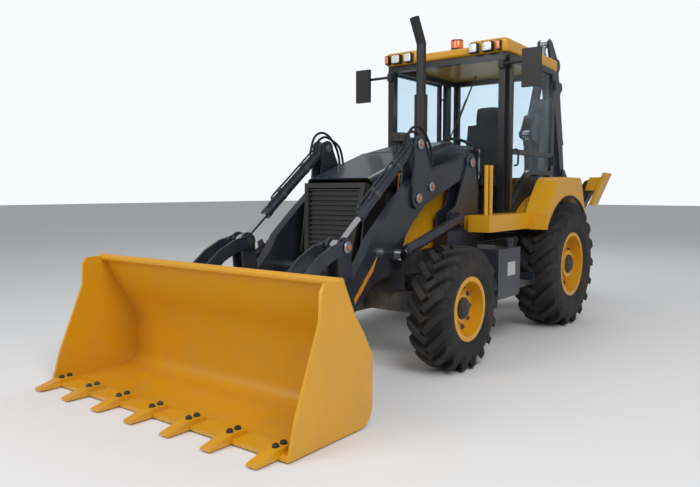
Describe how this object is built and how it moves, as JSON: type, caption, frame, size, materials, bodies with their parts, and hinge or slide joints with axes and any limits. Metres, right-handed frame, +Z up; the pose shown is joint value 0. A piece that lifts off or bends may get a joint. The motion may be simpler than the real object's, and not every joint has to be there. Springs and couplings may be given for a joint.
{
  "type": "backhoe loader",
  "caption": "Four-wheeled tractor with a glazed cab, a wide front bucket on two lift arms, a folded swinging digging arm behind and two folding side legs.",
  "frame": {"origin": "middle of the machine's length and width, on the ground", "axes": "+X forward, +Y to the machine's left, +Z up"},
  "size_m": [7.3102, 2.344, 3.3728],
  "materials": {
    "navy_paint": "satin",
    "yellow_paint": "satin",
    "dark_paint": "satin",
    "cast": "rough",
    "black_plastic": "matte",
    "tyre": "matte",
    "steel": "brushed",
    "barrel_paint": "satin",
    "rod_chrome": "polished",
    "glass": "clear",
    "seat_cover": "woven",
    "lamp": "clear"
  },
  "bodies": {
    "chassis": {"main_frame": "dark_paint", "tie_downs": "dark_paint", "towers": "dark_paint", "axles": "cast", "engine": "cast", "cowl": "navy_paint", "grille": "black_plastic", "side_panels": "yellow_paint", "exhaust": "black_plastic", "cab_frame": "dark_paint", "roof": "yellow_paint", "glass": "glass", "seat": "seat_cover", "controls": "black_plastic", "fenders": "yellow_paint", "tanks": "navy_paint", "lamps": "lamp", "mirrors": "black_plastic"},
    "hood": {"hood": "navy_paint"},
    "knuckle_l": {"knuckle_l": "cast"},
    "knuckle_r": {"knuckle_r": "cast"},
    "wheel_fl": {"tyre_fl": "tyre", "rim_fl": "yellow_paint"},
    "wheel_fr": {"tyre_fr": "tyre", "rim_fr": "yellow_paint"},
    "wheel_rl": {"tyre_rl": "tyre", "rim_rl": "yellow_paint"},
    "wheel_rr": {"tyre_rr": "tyre", "rim_rr": "yellow_paint"},
    "door_l": {"door_l": "navy_paint", "door_glass_l": "glass"},
    "door_r": {"door_r": "navy_paint", "door_glass_r": "glass"},
    "arms": {"arms": "navy_paint", "tilt_brackets": "navy_paint", "pin_bracket": "steel", "pin_lever": "steel", "pin_bucket": "steel"},
    "levers": {"levers": "navy_paint", "pin_tilt": "steel"},
    "tilt_links": {"tilt_links": "navy_paint"},
    "tilt_barrels": {"tilt_barrels": "barrel_paint"},
    "tilt_rods": {"tilt_rods": "rod_chrome"},
    "lift_barrels": {"lift_barrels": "barrel_paint"},
    "lift_rods": {"lift_rods": "rod_chrome"},
    "loader_bucket": {"loader_bucket": "yellow_paint"},
    "swing_post": {"swing_post": "navy_paint"},
    "boom": {"boom": "navy_paint"},
    "dipper": {"dipper": "navy_paint"},
    "dig_bucket": {"dig_bucket": "cast"},
    "boom_barrel": {"boom_barrel": "barrel_paint"},
    "boom_rod": {"boom_rod": "rod_chrome"},
    "dip_barrel": {"dip_barrel": "barrel_paint"},
    "dip_rod": {"dip_rod": "rod_chrome"},
    "dig_barrel": {"dig_barrel": "barrel_paint"},
    "dig_rod": {"dig_rod": "rod_chrome"},
    "toggle_levers": {"toggle_levers": "navy_paint"},
    "push_link": {"push_link": "navy_paint"},
    "stab_l": {"stab_l": "dark_paint"},
    "stab_r": {"stab_r": "dark_paint"}
  },
  "joints": [
    {"name": "lift", "type": "hinge", "parent": "chassis", "child": "arms", "pos_m": [0.33507, 0, 1.655], "axis": [0, -1, 0], "range_deg": [0, 72]},
    {"name": "lift_barrel_turn", "type": "hinge", "parent": "chassis", "child": "lift_barrels", "pos_m": [0.68007, 0, 1.15], "axis": [0, -1, 0], "range_deg": [-0.5, 78.17]},
    {"name": "lift_rod_slide", "type": "slide", "parent": "lift_barrels", "child": "lift_rods", "axis": [0.9661, 0, -0.2583], "range_m": [-0.002, 0.70986]},
    {"name": "tilt", "type": "hinge", "parent": "arms", "child": "loader_bucket", "pos_m": [2.71007, 0, 0.24], "axis": [0, 1, 0], "range_deg": [-35, 90]},
    {"name": "lever_turn", "type": "hinge", "parent": "arms", "child": "levers", "pos_m": [2.19007, 0, 0.555], "axis": [0, 1, 0], "range_deg": [-35.5, 90.5]},
    {"name": "tilt_link_turn", "type": "hinge", "parent": "levers", "child": "tilt_links", "pos_m": [2.24007, 0, 1], "axis": [0, 1, 0], "range_deg": [-90.5, 35.5]},
    {"name": "tilt_barrel_turn", "type": "hinge", "parent": "arms", "child": "tilt_barrels", "pos_m": [1.24007, 0, 1.775], "axis": [0, 1, 0], "range_deg": [-1.57, 0.92]},
    {"name": "tilt_rod_slide", "type": "slide", "parent": "tilt_barrels", "child": "tilt_rods", "axis": [0.7904, 0, -0.6126], "range_m": [-0.21132, 0.54025]},
    {"name": "swing", "type": "hinge", "parent": "chassis", "child": "swing_post", "pos_m": [-2.28993, 0, 0.78], "axis": [0, 0, 1], "range_deg": [-90, 90]},
    {"name": "boom_turn", "type": "hinge", "parent": "swing_post", "child": "boom", "pos_m": [-2.52993, 0, 0.8], "axis": [0, -1, 0], "range_deg": [0, 95]},
    {"name": "boom_barrel_turn", "type": "hinge", "parent": "swing_post", "child": "boom_barrel", "pos_m": [-2.32993, 0, 1.165], "axis": [0, -1, 0], "range_deg": [-0.5, 103.82]},
    {"name": "boom_rod_slide", "type": "slide", "parent": "boom_barrel", "child": "boom_rod", "axis": [0.1311, 0, 0.9914], "range_m": [-0.002, 0.58996]},
    {"name": "dipper_turn", "type": "hinge", "parent": "boom", "child": "dipper", "pos_m": [-2.90993, 0, 3.05], "axis": [0, 1, 0], "range_deg": [0, 115]},
    {"name": "dip_barrel_turn", "type": "hinge", "parent": "boom", "child": "dip_barrel", "pos_m": [-2.29993, 0, 2.29], "axis": [0, 1, 0], "range_deg": [-20.41, 0.5]},
    {"name": "dip_rod_slide", "type": "slide", "parent": "dip_barrel", "child": "dip_rod", "axis": [-0.3885, 0, 0.9215], "range_m": [-0.44558, 0.002]},
    {"name": "dig", "type": "hinge", "parent": "dipper", "child": "dig_bucket", "pos_m": [-3.34993, 0, 1.3], "axis": [0, 1, 0], "range_deg": [0, 118]},
    {"name": "toggle_turn", "type": "hinge", "parent": "dipper", "child": "toggle_levers", "pos_m": [-3.26703, 0, 1.62974], "axis": [0, 1, 0], "range_deg": [-0.5, 118.5]},
    {"name": "push_link_turn", "type": "hinge", "parent": "toggle_levers", "child": "push_link", "pos_m": [-3.51216, 0, 1.42405], "axis": [0, 1, 0], "range_deg": [-118.5, 0.5]},
    {"name": "dig_barrel_turn", "type": "hinge", "parent": "dipper", "child": "dig_barrel", "pos_m": [-3.16993, 0, 2.8], "axis": [0, 1, 0], "range_deg": [-3.66, 0.5]},
    {"name": "dig_rod_slide", "type": "slide", "parent": "dig_barrel", "child": "dig_rod", "axis": [-0.2414, 0, -0.9704], "range_m": [-0.54714, 0.002]},
    {"name": "stab_l_turn", "type": "hinge", "parent": "chassis", "child": "stab_l", "pos_m": [-1.84993, 0.45, 0.6], "axis": [-1, 0, 0], "range_deg": [0, 97]},
    {"name": "stab_r_turn", "type": "hinge", "parent": "chassis", "child": "stab_r", "pos_m": [-1.84993, -0.45, 0.6], "axis": [1, 0, 0], "range_deg": [0, 97]},
    {"name": "steer_l", "type": "hinge", "parent": "chassis", "child": "knuckle_l", "pos_m": [1.32707, 0.8, 0.486], "axis": [0, 0, 1], "range_deg": [-32, 32]},
    {"name": "steer_r", "type": "hinge", "parent": "chassis", "child": "knuckle_r", "pos_m": [1.32707, -0.8, 0.486], "axis": [0, 0, 1], "range_deg": [-32.5, 32.5]},
    {"name": "roll_fl", "type": "hinge", "parent": "knuckle_l", "child": "wheel_fl", "pos_m": [1.32707, 0.9285, 0.486], "axis": [0, 1, 0], "continuous": true},
    {"name": "roll_fr", "type": "hinge", "parent": "knuckle_r", "child": "wheel_fr", "pos_m": [1.32707, -0.9285, 0.486], "axis": [0, 1, 0], "continuous": true},
    {"name": "roll_rl", "type": "hinge", "parent": "chassis", "child": "wheel_rl", "pos_m": [-0.92993, 0.8765, 0.638], "axis": [0, 1, 0], "continuous": true},
    {"name": "roll_rr", "type": "hinge", "parent": "chassis", "child": "wheel_rr", "pos_m": [-0.92993, -0.8765, 0.638], "axis": [0, 1, 0], "continuous": true},
    {"name": "door_l_turn", "type": "hinge", "parent": "chassis", "child": "door_l", "pos_m": [-1.23493, 0.719, 2], "axis": [0, 0, 1], "range_deg": [0, 85]},
    {"name": "door_r_turn", "type": "hinge", "parent": "chassis", "child": "door_r", "pos_m": [-1.23493, -0.719, 2], "axis": [0, 0, -1], "range_deg": [0, 85]},
    {"name": "hood_turn", "type": "hinge", "parent": "chassis", "child": "hood", "pos_m": [0.87007, 0, 1.741], "axis": [0, -1, 0], "range_deg": [0, 55]}
  ],
  "couplings": [
    {"joint": "lift_barrel_turn", "follows": "lift", "ratio": 1.0787},
    {"joint": "lift_rod_slide", "follows": "lift", "m_per_rad": 0.5633},
    {"joint": "lever_turn", "follows": "tilt", "ratio": 1},
    {"joint": "tilt_link_turn", "follows": "tilt", "ratio": -1},
    {"joint": "tilt_barrel_turn", "follows": "tilt", "ratio": -0.011871},
    {"joint": "tilt_rod_slide", "follows": "tilt", "m_per_rad": 0.34266},
    {"joint": "boom_barrel_turn", "follows": "boom_turn", "ratio": 1.0876},
    {"joint": "boom_rod_slide", "follows": "boom_turn", "m_per_rad": 0.35461},
    {"joint": "dip_barrel_turn", "follows": "dipper_turn", "ratio": -0.17311},
    {"joint": "dip_rod_slide", "follows": "dipper_turn", "m_per_rad": -0.221},
    {"joint": "toggle_turn", "follows": "dig", "ratio": 1},
    {"joint": "push_link_turn", "follows": "dig", "ratio": -1},
    {"joint": "dig_barrel_turn", "follows": "dig", "ratio": -0.026789},
    {"joint": "dig_rod_slide", "follows": "dig", "m_per_rad": -0.2647},
    {"joint": "steer_r", "follows": "steer_l", "ratio": 1}
  ]
}
